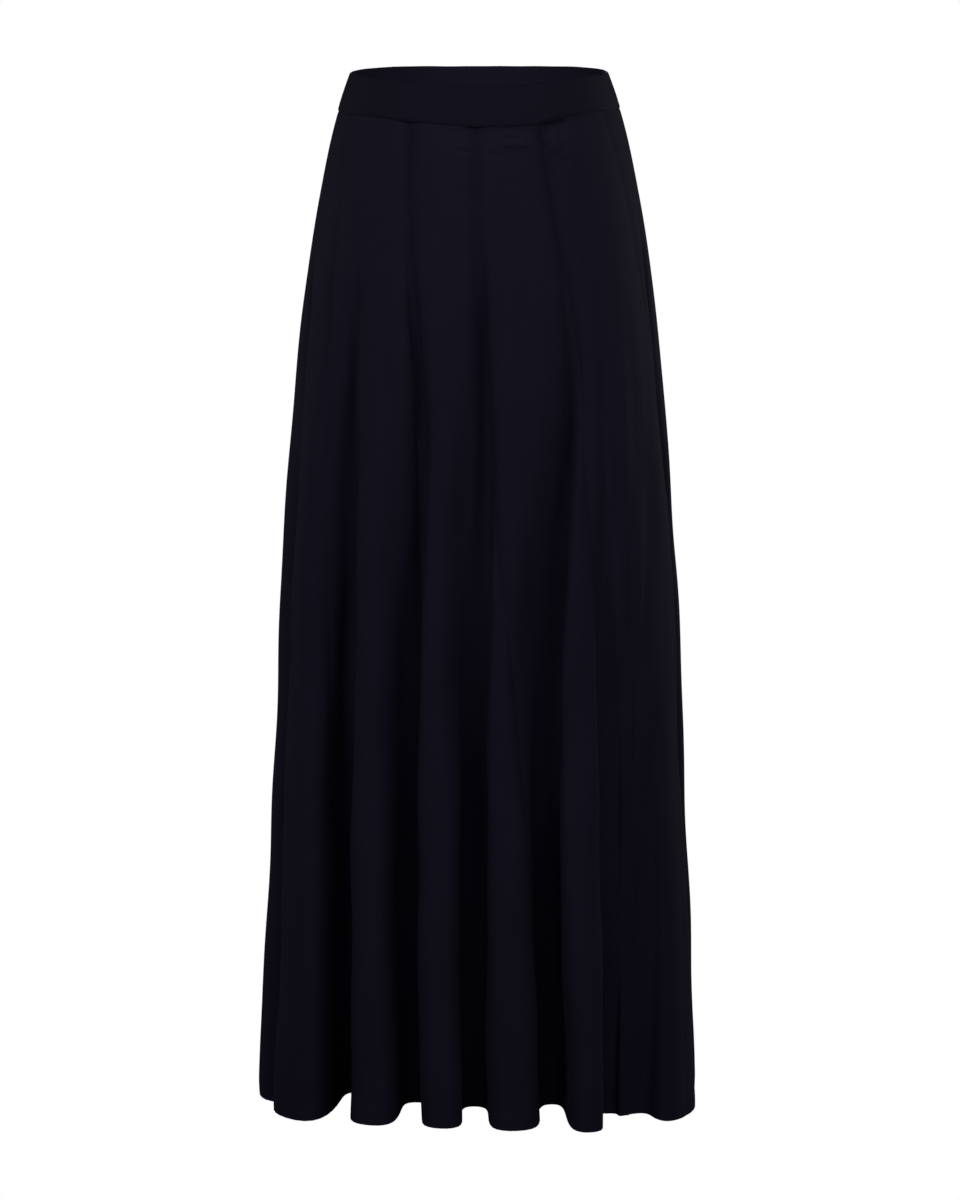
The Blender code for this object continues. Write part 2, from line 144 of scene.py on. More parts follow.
# %% The folds and the seams
Fold = namedtuple("Fold", "name waist hip knee hem depth mouth knee_lean hem_lean ridge_out start")
KNEE_SHARE = 0.5
ANGLE_SHARES = (0.0, 0.23, KNEE_SHARE, 1.0)
FOLDS = (
    Fold("front_left_edge", -82, -81, -83, -84.5, 0.062, 0.030, 0.012, 0.014, -0.008, 0.13),
    Fold("front_left", -50, -53.5, -55.5, -56.3, 0.080, 0.034, 0.006, -0.005, -0.003, 0.15),
    Fold("centre_left", -36.3, -27, -33.0, -32.0, 0.062, 0.026, 0.015, 0.003, -0.001, 0.15),
    Fold("centre", -2.4, 0.5, -4.2, -1.5, 0.054, 0.026, 0.010, -0.001, 0.005, 0.14),
    Fold("centre_right", 31.8, 37.2, 27.3, 32.0, 0.058, 0.026, 0.012, 0.003, 0.013, 0.17),
    Fold("front_right", 48, 48.5, 51.0, 51.5, 0.028, 0.024, -0.003, -0.002, -0.024, 0.34),
    Fold("front_right_soft", 60, 62, 63.0, 62.5, 0.026, 0.026, 0.000, 0.000, -0.004, 0.45),
    Fold("front_right_edge", 80, 80, 85.0, 89.0, 0.040, 0.022, -0.002, -0.002, -0.002, 0.12),
    Fold("side_right", 100, 100, 101, 104, 0.046, 0.026, 0.002, 0.000, -0.004, 0.10),
    Fold("back_right_1", 117, 117, 116, 117, 0.056, 0.026, -0.006, 0.004, 0.000, 0.14),
    Fold("back_right_2", 134, 134, 134, 133, 0.060, 0.027, -0.004, 0.003, 0.003, 0.11),
    Fold("back_right_3", 153, 153, 152, 150, 0.052, 0.024, 0.005, 0.000, -0.003, 0.17),
    Fold("back_right_4", 170, 170, 171, 169, 0.060, 0.027, 0.007, -0.002, 0.002, 0.12),
    Fold("back_left_4", 188, 188, 187, 188, 0.056, 0.026, -0.006, 0.002, -0.002, 0.15),
    Fold("back_left_3", 206, 206, 207, 206, 0.062, 0.027, -0.005, 0.000, 0.003, 0.12),
    Fold("back_left_2", 224, 224, 224, 224, 0.054, 0.025, 0.006, -0.003, -0.003, 0.16),
    Fold("back_left_1", 241, 241, 242, 241, 0.058, 0.026, 0.004, -0.004, 0.000, 0.12),
    Fold("side_left", 258, 258, 258, 257, 0.046, 0.026, -0.003, 0.000, 0.000, 0.10),
)

Gore = namedtuple("Gore", "name waist hip thigh knee hem")
SEAM_SHARES = (0.0, 0.11, 0.23, 0.50, 1.0)
GORES = (
    Gore("gore_front_1", -1.10, -1.08, -1.05, -1.00, -1.00),
    Gore("gore_front_2", 0.33, 0.58, 0.60, 0.66, 1.10),
    Gore("gore_front_3", 2.00, 1.98, 1.90, 2.00, 2.10),
    Gore("gore_front_4", 3.00, 3.00, 3.10, 3.53, 3.80),
    Gore("gore_front_5", 4.00, 4.03, 4.26, 4.78, 4.95),
    Gore("gore_front_6", 6.40, 6.58, 6.62, 6.55, 6.50),
    Gore("gore_back_1", 8.10, 8.10, 8.10, 8.05, 8.00),
    Gore("gore_back_2", 9.60, 9.60, 9.60, 9.60, 9.50),
    Gore("gore_back_3", 11.05, 11.05, 11.05, 11.00, 11.00),
    Gore("gore_back_4", 12.50, 12.50, 12.50, 12.50, 12.50),
    Gore("gore_back_5", 13.95, 13.95, 13.95, 14.00, 14.00),
    Gore("gore_back_6", 15.40, 15.40, 15.40, 15.40, 15.50),
)
print(len(FOLDS), "folds and", len(GORES), "gores")

# %% [markdown]
# ## Smooth curves through a table
#
# Between two measured places the cloth has to run on smoothly. A cubic Hermite curve does that: it passes
# through every value in the table, and its slope at each one is read off the neighbours. Everything works
# on whole numpy arrays, so one call answers for every point of a panel at once.


# %% Curves
def ease(share):
    """An S-shaped rise from 0 to 1, level at both ends: 3 share squared less 2 share cubed."""
    share = np.clip(share, 0.0, 1.0)
    return share * share * (3.0 - 2.0 * share)


def hermite(low, high, low_slope, high_slope, share):
    """The cubic from low to high with those slopes, at a share of the way."""
    square, cube = share * share, share**3
    rise = 3 * square - 2 * cube
    return low + rise * (high - low) + (cube - 2 * square + share) * low_slope + (cube - square) * high_slope


def through(knots, values, wanted):
    """A smooth curve through a column of a table, whose knots rise."""
    knots, values = np.asarray(knots, float), np.asarray(values, float)
    slopes = np.gradient(values, knots)
    wanted = np.clip(wanted, knots[0], knots[-1])
    row = np.clip(np.searchsorted(knots, wanted, side="right") - 1, 0, len(knots) - 2)
    step = knots[row + 1] - knots[row]
    share = (wanted - knots[row]) / step
    return hermite(values[row], values[row + 1], slopes[row] * step, slopes[row + 1] * step, share)


def round_the_folds(values, turn, phase):
    """A smooth closed curve through one value for each valley; turn is what one whole round adds."""
    count = len(FOLDS)
    row = np.floor(phase).astype(int)

    def value(index):
        return values[index % count, np.arange(len(phase))] + turn * (index // count)

    before, low, high, after = (value(row + step) for step in (-1, 0, 1, 2))
    return hermite(low, high, (high - before) / 2, (after - low) / 2, phase - row)


print("half way up the S-shaped rise:", ease(0.5))

# %% [markdown]
# ## The oval and the folds
#
# The skirt could be draped by a cloth simulation, but then the folds would fall where the solver puts them
# and not where they hang on this skirt. So the folds are a formula. Each point of the cloth has a phase,
# which counts folds round the skirt, and a share of the length. Half a fold runs from a valley's floor out
# to the ridge: it goes in through the oval as a flattened cosine wave, and along the oval as a sine wave
# that makes its walls steep. A lean shifts the floor sideways, so that one ridge hides part of the next
# valley.
#
# Three shapes come and go down the skirt. High up, where a fold is still shallow, it starts as a sharp
# crease: a bell curve along the valley's floor. There the walls pinch in to the crease, a sine wave along
# the oval. Lower down, the left wall of a deep valley, seen from outside, has a soft shelf: a squared sine
# wave. Each has a Spell that says how much sooner than its fold it begins, over what share of the length it
# comes on, and where and how slowly it fades.

# %% The oval
SMALL_TURN = math.radians(0.05)


def section_column(column, z):
    """One column of SECTIONS at these heights."""
    heights = [-section.z for section in SECTIONS]
    return through(heights, [getattr(section, column) for section in SECTIONS], -z)


def oval_point(angle, z):
    """x and y of the oval, a superellipse: |x / width| and |y / depth|, each to a power, add up to 1."""
    across, ahead = np.sin(angle), np.cos(angle)
    power = section_column("squareness", z)
    depth = np.where(ahead > 0, section_column("front", z), section_column("back", z))
    width = section_column("half_width", z)
    reach = (np.abs(across / width) ** power + np.abs(ahead / depth) ** power) ** (-1.0 / power)
    return np.stack([reach * across, section_column("middle_y", z) - reach * ahead], axis=-1)


def oval_directions(angle, z):
    """The unit directions along the oval and in through it, from two points a small turn apart."""
    along = oval_point(angle + SMALL_TURN, z) - oval_point(angle - SMALL_TURN, z)
    along /= np.linalg.norm(along, axis=-1, keepdims=True)
    return along, np.stack([-along[:, 1], along[:, 0]], axis=-1)


def band_edge(column, angle):
    """The height of the band's foot or rim: a smooth curve through BAND_EDGES, from -180 to 180 degrees."""
    degrees = (np.degrees(angle) + 180.0) % 360.0 - 180.0
    heights = [getattr(edge, column) for edge in BAND_EDGES]
    return through([edge.angle for edge in BAND_EDGES], heights, degrees)


print(f"the hem's oval is {2 * SECTIONS[-1].half_width / MM:.0f} mm wide")

# %% Where a fold lies and how far it has grown
FOLD_SOFTNESS = 0.14  # how gently a fold starts, as a share of the length
FOLD_HASTE = 0.72  # below 1 a fold deepens more quickly near its start than near the hem


def fold_column(column):
    """One column of FOLDS, one row for each valley."""
    return np.array([getattr(fold, column) for fold in FOLDS], float)[:, None]


def mouth_angles(share):
    """The angle of every valley's mouth at these heights, in radians."""
    table = [[fold.waist, fold.hip, fold.knee, fold.hem] for fold in FOLDS]
    return np.radians(np.stack([through(ANGLE_SHARES, row, share) for row in table]))


def fold_lean(share):
    """How far every valley's floor has moved round: eased to knee_lean at the knee, then to hem_lean."""
    start, at_knee, at_hem = (fold_column(name) for name in ("start", "knee_lean", "hem_lean"))
    to_knee = ease((share - start) / (KNEE_SHARE - start))
    to_hem = ease((share - KNEE_SHARE) / (1.0 - KNEE_SHARE))
    return at_knee * to_knee + (at_hem - at_knee) * to_hem


def fold_growth(share):
    """How far every fold has grown, from 0 at its start to 1 at the hem.

    The share of its length, squared, over that share plus a softness: nearly even, with a soft start. A
    power below 1 then hastens it.
    """
    start = fold_column("start")
    grown = np.clip((share - start) / (1.0 - start), 0.0, 1.0)
    return (grown * grown / (grown + FOLD_SOFTNESS) * (1.0 + FOLD_SOFTNESS)) ** FOLD_HASTE


print(f"half way down the folds have grown to {fold_growth(np.array([0.5])).mean():.0%} of their depth")

# %% The passing shapes
Spell = namedtuple("Spell", "lead rise end fade")
CREASE_SPELL = Spell(0.06, 0.14, 0.33, 0.25)
SHELF_SPELL = Spell(-0.06, 0.20, 0.50, 0.22)
PINCH_SPELL = Spell(0.02, 0.15, 0.45, 0.20)
CREASE_DEPTH = 0.006
CREASE_TOP_WIDTH, CREASE_WIDTH = 0.15, 0.28  # half widths, as shares of the way from the floor to the ridge
CREASE_OPENING = 0.25  # the share of the length over which it widens from the first to the second
SHELF_DEPTH, SHELF_SHARE = 0.010, 0.30  # the most of it in metres, and as a share of half a fold
SHELF_SKEW = 1.45  # 1 puts it half way up the wall, and more nearer to the ridge
PINCH = 0.30  # as a share of half a fold


def present(spell, share):
    """How much of a passing shape every valley has: eased in near where the valley starts, and out again."""
    start = fold_column("start") - spell.lead
    return ease((share - start) / spell.rise) * (1.0 - ease((share - spell.end) / spell.fade))


def crease_width(share):
    """The half width of every valley's crease, as a share of half a fold: it eases wider on its way down."""
    start = fold_column("start") - CREASE_SPELL.lead
    return CREASE_TOP_WIDTH + (CREASE_WIDTH - CREASE_TOP_WIDTH) * ease((share - start) / CREASE_OPENING)


print(f"the creases are gone at {CREASE_SPELL.end + CREASE_SPELL.fade:.0%} of the length")

# %% The cloth
WALL_STEEPNESS = 1.0  # 1 makes the middle of a grown fold's walls stand square to the oval
WALL_HASTE = 2.0  # 2 reaches that steepness when the depth is half grown
BOXINESS = 0.9  # close to 0 a fold is a cosine wave, and more makes its floor and ridge flatter
DEEP_FOLD = 0.040  # a fold shallower than this has walls that slope in proportion, and no shelf
SHELF_FOLD = 0.054  # a fold as deep as this has the whole shelf
RING_POINTS = 2401


def cloth_plan(phase, share, z):
    """x and y of the cloth, from the fold's growth, depth, mouth and lean as told above.

    In through the oval: the grown depth times a flattened cosine, 1 on the floor and 0 on the ridge, plus
    the crease and the shelf. Along the oval: one whole sine wave, which steepens the wall, plus half a sine
    wave, which narrows the valley to its mouth, plus the lean.
    """
    columns, count = np.arange(len(phase)), len(FOLDS)
    angles, growth = mouth_angles(share), fold_growth(share)
    row = np.floor(phase).astype(int)
    local = phase - row
    past_ridge = local > 0.5
    valley = (row + past_ridge) % count
    from_floor = np.where(past_ridge, 1.0 - local, local) * 2.0
    outward = np.where(past_ridge, -1.0, 1.0)

    angle = round_the_folds(angles, 2 * math.pi, phase)
    valley_angle = round_the_folds(angles, 2 * math.pi, (row + past_ridge).astype(float))
    ridge_angle = round_the_folds(angles, 2 * math.pi, row + 0.5)
    half_fold = np.linalg.norm(oval_point(ridge_angle, z) - oval_point(valley_angle, z), axis=-1)

    depth, mouth = (fold_column(name)[valley, 0] for name in ("depth", "mouth"))
    grown = growth[valley, columns]
    floor_share = 0.5 + 0.5 * np.tanh(BOXINESS * np.cos(math.pi * from_floor)) / math.tanh(BOXINESS)
    ridge_grown = 0.5 * (growth[row % count, columns] + growth[(row + 1) % count, columns])
    ridge_out = ridge_grown * fold_column("ridge_out")[row % count, 0]
    inward = grown * depth * floor_share - ridge_out * (1.0 - floor_share)
    deep = np.minimum(depth / DEEP_FOLD, 1.0)
    crease = np.exp(-((from_floor / crease_width(share)[valley, columns]) ** 2))
    shelf = np.sin(math.pi * from_floor**SHELF_SKEW) ** 2
    shelf = np.minimum(SHELF_DEPTH, SHELF_SHARE * half_fold) * shelf
    shelf *= past_ridge * np.interp(depth, (DEEP_FOLD, SHELF_FOLD), (0.0, 1.0))
    creased, shelved, pinched = (
        present(spell, share)[valley, columns] for spell in (CREASE_SPELL, SHELF_SPELL, PINCH_SPELL)
    )
    inward += deep * CREASE_DEPTH * creased * crease + shelved * shelf

    upright = np.minimum(WALL_HASTE * grown, 1.0)
    steep = WALL_STEEPNESS * half_fold / (2 * math.pi) * upright
    narrow = 0.5 * (mouth - half_fold) * grown - PINCH * half_fold * pinched * (1.0 - upright)
    along = steep * np.sin(2 * math.pi * from_floor) + narrow * np.sin(math.pi * from_floor)
    along = outward * along * deep + fold_lean(share)[valley, columns] * floor_share

    tangent, normal = oval_directions(angle, z)
    return oval_point(angle, z) + tangent * along[:, None] + normal * inward[:, None]


def cloth_point(phase, share):
    """The outer face of the skirt, as x, y and z, for arrays of fold phases and shares of the length."""
    phase, share = np.broadcast_arrays(np.asarray(phase, float), np.asarray(share, float))
    shape = phase.shape
    phase, share = phase.ravel(), share.ravel()
    angle = round_the_folds(mouth_angles(share), 2 * math.pi, phase)
    top = band_edge("foot", angle)
    hem = HEM_HEIGHT - HEM_SIDE_DROP * np.sin(angle) ** HEM_DROP_POWER
    z = top + (hem - top) * share
    return np.column_stack([cloth_plan(phase, share, z), z]).reshape(shape + (3,))


for level in (0.0, 0.5, 1.0):
    ring = cloth_point(np.linspace(0.0, len(FOLDS), RING_POINTS), level)
    around = np.linalg.norm(np.diff(ring, axis=0), axis=1).sum()
    print(f"cloth round the skirt at {level:.0%} of its length: {around:.2f} m")

# %% [markdown]
# ## Creases and unevenness
#
# Real folds never run quite true. Besides the big folds there are small ones that come and go: pulls in the
# cloth under the waistband, long soft creases over the hips, and dents where a ridge has been handled. Each
# is a row in CREASES: a line on the front or the back, from one point to another in x and z, a half width,
# and a height, above the cloth where it is positive and into it where it is negative. Across the line the
# section is a bell curve, and it fades out towards both ends. They could be sculpted, but a table can be
# read and changed.

# %% The creases, in millimetres
Crease = namedtuple("Crease", "side x1 z1 x2 z2 half_width height")
CREASES = (
    Crease("front", 20, -26.4, 33, -27.0, 2.2, 1.2),
    Crease("front", 22, -35.2, 42, -36.4, 3.0, 2.0),
    Crease("front", -34, -25.0, 50, -25.0, 11.0, -1.0),
    Crease("front", 7, -44.0, 21, -45.6, 2.2, -1.0),
    Crease("front", -20, -41.4, -8, -42.0, 2.2, -1.0),
    Crease("front", 74, -50.0, 82, -51.5, 2.2, -1.0),
    Crease("front", 59, -22.0, 76, -20.0, 12.0, -3.4),
    Crease("front", 60, -38.0, 71, -36.5, 7.5, 2.4),
    Crease("front", 74, -17.0, 110, -10.0, 12.0, -1.6),
    Crease("front", 54.5, -21.0, 57.5, -38.0, 1.5, -1.2),
    Crease("front", -88, -166, -87.5, -394, 4.0, -0.8),
    Crease("front", -68.3, -200, -69.2, -420, 8.0, 1.3),
    Crease("front", 39, -190, 45, -430, 6.0, -1.4),
    Crease("front", -134.5, -160, -134.8, -225, 3.0, -0.8),
    Crease("front", 3.6, -120, 2.7, -230, 3.0, -0.9),
    Crease("front", 28, -90, 24, -260, 12, 0.8),
    Crease("front", 118, -100, 134, -300, 12, 0.8),
    Crease("back", -60, -40, -82, -170, 10, 0.9),
    Crease("back", -22, -60, -26, -230, 11, -0.9),
    Crease("back", 14, -40, 24, -160, 9, 0.8),
    Crease("back", 52, -70, 66, -250, 12, -1.0),
    Crease("back", 92, -60, 112, -220, 9, 0.8),
    Crease("back", -98, -90, -118, -280, 10, -1.0),
    Crease("back", -40, -26, -12, -27, 2.2, 0.5),
    Crease("back", 22, -30, 54, -31, 2.4, -0.6),
)
CREASE_FADE = 0.5  # the share of its length over which a crease fades, half of that past each end


def crease_height(points):
    """How far the creases lift these points: a bell curve across each line, faded at its ends."""
    lift = np.zeros(points.shape[:-1])
    x, z = points[..., 0] / MM, points[..., 2] / MM
    facing = {"front": points[..., 1] < 0.0, "back": points[..., 1] > 0.0}
    for crease in CREASES:
        run = np.array([crease.x2 - crease.x1, crease.z2 - crease.z1], float)
        length = np.linalg.norm(run)
        run /= length
        down = ((x - crease.x1) * run[0] + (z - crease.z1) * run[1]) / length
        off = (x - crease.x1) * run[1] - (z - crease.z1) * run[0]
        fade = ease(0.5 + down / CREASE_FADE) * ease(0.5 + (1.0 - down) / CREASE_FADE)
        lift += facing[crease.side] * crease.height * MM * np.exp(-((off / crease.half_width) ** 2)) * fade
    return lift


# %% The waves: turns for each fold, turns down the length, where they start, and millimetres
Wave = namedtuple("Wave", "round_it down_it start height")
WAVES = (
    Wave(0.83, 1.7, 0.4, 0.9),
    Wave(1.37, -2.6, 2.1, 0.7),
    Wave(2.21, 3.9, 4.0, 0.5),
    Wave(0.41, 6.3, 1.2, 0.5),
)
FULL_WAVES = 0.5  # the share of the length where they are fully grown


def unevenness(phase, share):
    """The sum of slow sine waves, in metres, that run round and down the skirt and grow from nothing."""
    lift = sum(
        wave.height * MM * np.sin(2 * math.pi * (wave.round_it * phase + wave.down_it * share) + wave.start)
        for wave in WAVES
    )
    return lift * ease(share / FULL_WAVES)


print(len(CREASES), "creases and", len(WAVES), "waves")

# %% [markdown]
# ## From a grid to cloth
#
# A panel is a grid of points: columns across it, rows down it. Sewn cloth needs most detail at its edges,
# so the columns crowd together beside the seams and the rows at the waist and the hem. At a seam the face
# rolls in to make a fine groove in a shallow channel, and it pulls in and out a little along the stitches.
# Some seams are firmer than others, so each has its own share of that. Near the top of a seam the colour is
# painted a little darker, a painted shade along it. Behind a seam lies its allowance, pressed open, and at
# the hem the cloth is doubled where it is turned up: both are steps in the thickness of the inner face. The
# outer grid, the rounded hem and the inner grid join into one closed shell.

# %% The rows and columns of a panel
SKIRT_LENGTH = 0.945  # from the band's foot to the hem, measured down the front
TUCK = 6.0 * MM  # let into the band
SEAM_OVERLAP = 0.06 * MM
COLUMNS_PER_FOLD = 28
SEAM_COLUMNS = np.array([0.0, 0.5, 1.0, 1.6, 2.4, 3.6, 5.2, 7.0, 8.4, 9.4, 10.6]) * MM
WAIST_ROWS = np.concatenate([[-6.0, -3.0, -1.2, -0.3, 0.4, 1.1, 1.9], np.arange(2.8, 60.0, 1.3)]) * MM
HEM_ROWS = np.array([25.0, 22.0, 20.6, 19.6, 18.0, 14.0, 9.0, 5.0, 2.6, 1.2, 0.4, 0.0]) * MM
ROW_STEP = 5.4 * MM
FINE_COLUMNS, FINE_MARGIN = 409, 0.01  # a finer grid that measures the cloth, a little past both seams


def gore_levels():
    """The shares of the length that have a row: close at the waist and the hem, even between them."""
    middle = np.arange(WAIST_ROWS[-1] + ROW_STEP, SKIRT_LENGTH - HEM_ROWS[0] - 0.5 * ROW_STEP, ROW_STEP)
    return np.concatenate([WAIST_ROWS, middle, SKIRT_LENGTH - HEM_ROWS]) / SKIRT_LENGTH


def along_rows(points):
    """Distance along each row of the cloth, in metres, from its first column."""
    steps = np.linalg.norm(np.diff(points, axis=0), axis=-1)
    return np.concatenate([np.zeros((1, points.shape[1])), np.cumsum(steps, axis=0)])


def gore_phases(gore, following, turns, levels):
    """The phase of every column on every row, the columns beside each seam a fixed width of cloth apart.

    A fine row of points gives the metres of cloth at every phase, and the phase is read back off that curve.
    """
    left = through(SEAM_SHARES, gore[1:], levels)
    right = through(SEAM_SHARES, following[1:], levels) + turns * len(FOLDS)
    fine = left + (right - left) * np.linspace(-FINE_MARGIN, 1.0 + FINE_MARGIN, FINE_COLUMNS)[:, None]
    reach = along_rows(cloth_point(fine, levels))
    edges = []
    for seam, direction in ((left, 1.0), (right, -1.0)):
        offsets = direction * (SEAM_COLUMNS - SEAM_OVERLAP)
        edges.append([
            np.interp(np.interp(at, phases, metres) + offsets, metres, phases)
            for at, metres, phases in zip(seam, reach.T, fine.T)
        ])
    edge_left, edge_right = (np.array(edge).T for edge in edges)
    columns = round(COLUMNS_PER_FOLD * float((right - left).mean()))
    across = np.linspace(0.0, 1.0, columns + 2)[1:-1, None]
    between = edge_left[-1] + (edge_right[-1] - edge_left[-1]) * across
    return np.concatenate([edge_left, between, edge_right[::-1]])


print(len(gore_levels()), "rows down a panel")

# %% [markdown]
# The shell's thickness and its face are worked out from how far each point lies from the nearest seam and
# from the hem, measured along the cloth. The groove and the channel are bell curves across the seam, and
# the pull of the stitches is a sine wave down it, whose length drifts.

# %% Faces of a panel
CLOTH_THICKNESS = 0.9 * MM
ALLOWANCE_WIDTH, ALLOWANCE_STEP = 9.0 * MM, 0.8 * MM
HEM_ALLOWANCE, HEM_STEP = 20.0 * MM, 0.9 * MM
GROOVE_WIDTH, GROOVE_DEPTH = 1.8 * MM, 0.6 * MM
CHANNEL_WIDTH, CHANNEL_DEPTH = 7.5 * MM, 2.3 * MM
PUCKER_LENGTH, PUCKER_WIDTH, PUCKER_HEIGHT = 13.0 * MM, 5.0 * MM, 0.22 * MM
PUCKER_START, PUCKER_DRIFT, DRIFT_LENGTH = 0.01, 1.9, 0.047
# Painted shade darkens the colour beside each seam: its width, how far down the skirt it reaches and its
# fade.
PAINTED_SHADE_WIDTH, PAINTED_SHADE_END, PAINTED_SHADE_FADE = 6.5 * MM, 170 * MM, 120 * MM
WAIST_ROLL, WAIST_ROLL_WIDTH = 0.4 * MM, 1.3 * MM
WAIST_HOLD = 3.5 * MM  # the band's seam holds the cloth free of creases down to here
SEAM_FIRMNESS = {
    "gore_front_2": 0.45,
    "gore_front_3": 1.0,
    "gore_front_4": 1.0,
    "gore_front_5": 1.0,
    "gore_front_6": 0.35,
}
PLAIN_SEAM = 0.6


def outward_directions(points):
    """Unit normals of a grid: the cross product of its slopes across and down."""
    across, down = np.gradient(points, axis=0), np.gradient(points, axis=1)
    normal = np.cross(down, across)
    return normal / np.linalg.norm(normal, axis=-1, keepdims=True)


def step_down(distance, width):
    """1 inside a strip of this width beside an edge and 0 past it, over a millimetre."""
    return 1.0 - ease((distance - width + 0.5 * MM) / MM)


def gore_faces(gore, following, turns):
    """One panel as grids: its outer and inner faces, its cloth coordinates and its painted seam shade."""
    levels = gore_levels()
    phase = gore_phases(gore, following, turns, levels)
    share = np.broadcast_to(levels, phase.shape)
    flat = cloth_point(phase, share)
    normal = outward_directions(flat)
    across = along_rows(flat)
    width = across[-1:]
    from_seam = np.minimum(across, width - across)
    firm_left, firm_right = (SEAM_FIRMNESS.get(side.name, PLAIN_SEAM) for side in (gore, following))
    firmness = np.where(across < 0.5 * width, firm_left, firm_right)
    down = share * SKIRT_LENGTH
    from_hem = SKIRT_LENGTH - down

    groove = GROOVE_DEPTH * np.exp(-((from_seam / GROOVE_WIDTH) ** 2))
    groove = groove + CHANNEL_DEPTH * np.exp(-((from_seam / CHANNEL_WIDTH) ** 2))
    pucker = np.exp(-((from_seam / PUCKER_WIDTH) ** 2)) * ease(down / PUCKER_START)
    ripple = np.sin(2 * math.pi * down / PUCKER_LENGTH + PUCKER_DRIFT * np.sin(down / DRIFT_LENGTH))
    lift = crease_height(flat) * ease(down / WAIST_HOLD) + unevenness(phase, share)
    lift += (PUCKER_HEIGHT * pucker * ripple - groove) * firmness
    lift -= WAIST_ROLL * np.exp(-((np.maximum(down, 0.0) / WAIST_ROLL_WIDTH) ** 2))
    outer = flat + lift[..., None] * normal

    thick = CLOTH_THICKNESS + ALLOWANCE_STEP * step_down(from_seam, ALLOWANCE_WIDTH)
    thick = thick + HEM_STEP * step_down(from_hem, HEM_ALLOWANCE)
    inner = outer - thick[..., None] * outward_directions(outer)
    inner[:, 0, 2] = outer[:, 0, 2]  # both faces end at one height inside the band
    # Painted shade: a mask, as strong as the seam is firm, that darkens the colour beside each seam and
    # fades out down the skirt.
    painted_seam_shade = firmness * np.exp(-((from_seam / PAINTED_SHADE_WIDTH) ** 2))
    painted_seam_shade = painted_seam_shade * (1.0 - ease((down - PAINTED_SHADE_END) / PAINTED_SHADE_FADE))
    return outer, inner, np.stack([across - 0.5 * width, -down], axis=-1), painted_seam_shade


print(f"cloth {CLOTH_THICKNESS / MM:.1f} mm thick, and {HEM_STEP / MM:.1f} mm more at the hem")

# %% [markdown]
# `hem_rows` carries the outer face round the hem in a flattened half circle, so that the outer and the
# inner grid become one loop in every column. `closed_mesh` joins the loops with four-sided faces and closes
# both ends with strips.

# %% Closed shells
HEM_ARC = 4  # rows of points round the hem's edge
HEM_FULLNESS = 0.7  # 1 makes that edge a whole half circle, and less flattens it
SHARP_EDGE = 50.0  # degrees between faces


def hem_rows(outer, inner):
    """Rows round the bottom edge: flattened half circles from the outer face to the inner one."""
    middle, half = 0.5 * (outer[:, -1] + inner[:, -1]), 0.5 * (outer[:, -1] - inner[:, -1])
    radius = np.linalg.norm(half, axis=-1, keepdims=True)
    turns = np.linspace(0.0, math.pi, HEM_ARC + 2)[1:-1]
    drop = np.array([0.0, 0.0, -HEM_FULLNESS])
    return np.stack([middle + half * math.cos(t) + radius * drop * math.sin(t) for t in turns], axis=1)


def closed_mesh(name, loops, loops_uv, loops_painted_shade, surface):
    """One closed mesh from loops with an even count of points, each down the outer face and up the inner."""
    columns, size = loops.shape[:2]
    corner = np.arange(columns * size).reshape(columns, size)
    onward = np.roll(corner, -1, axis=1)
    sides = np.stack([corner[:-1], onward[:-1], onward[1:], corner[1:]], axis=-1).reshape(-1, 4)
    half = size // 2
    there, back = corner[:, :half], corner[:, ::-1][:, :half]
    ends = [
        np.stack([there[0, 1:], there[0, :-1], back[0, :-1], back[0, 1:]], axis=-1),
        np.stack([there[-1, :-1], there[-1, 1:], back[-1, 1:], back[-1, :-1]], axis=-1),
    ]
    faces = np.concatenate([sides, *ends])
    mesh = bpy.data.meshes.new(name)
    mesh.from_pydata(loops.reshape(-1, 3), [], faces.tolist())
    uv_map = mesh.uv_layers.new(name="cloth")
    uv_map.data.foreach_set("uv", loops_uv.reshape(-1, 2)[faces.ravel()].ravel())
    # The mask of painted seam shade goes on the points, for the material to read.
    mesh.attributes.new("painted_seam_shade", "FLOAT", "POINT").data.foreach_set("value", loops_painted_shade.ravel())
    mesh.shade_smooth()
    mesh.set_sharp_from_angle(angle=math.radians(SHARP_EDGE))
    mesh.materials.append(surface)
    made = bpy.data.objects.new(name, mesh)
    bpy.context.scene.collection.objects.link(made)
    return made


def panel_object(name, outer, inner, cloth_uv, painted_seam_shade, surface):
    """A panel of cloth: its two faces and its hem as one closed mesh, with a UV map in metres of cloth."""
    hem = hem_rows(outer, inner)
    hem_uv = np.repeat(cloth_uv[:, -1:], HEM_ARC, axis=1)
    loops = np.concatenate([outer, hem, inner[:, ::-1]], axis=1)
    loops_uv = np.concatenate([cloth_uv, hem_uv, cloth_uv[:, ::-1]], axis=1)
    # The hem carries on the painted seam shade of the last row.
    hem_painted_shade = np.repeat(painted_seam_shade[:, -1:], HEM_ARC, axis=1)
    loops_painted_shade = np.concatenate([painted_seam_shade, hem_painted_shade, painted_seam_shade[:, ::-1]], axis=1)
    return closed_mesh(name, loops, loops_uv, loops_painted_shade, surface)


print(HEM_ARC, "rows of points round the hem's edge")

# %% [markdown]
# ## Shader maths
#
# Materials are sums of patterns. Writing them with Blender's Math nodes one by one is slow to read, so this
# small class wraps a socket and lets Python's own operators add the nodes.


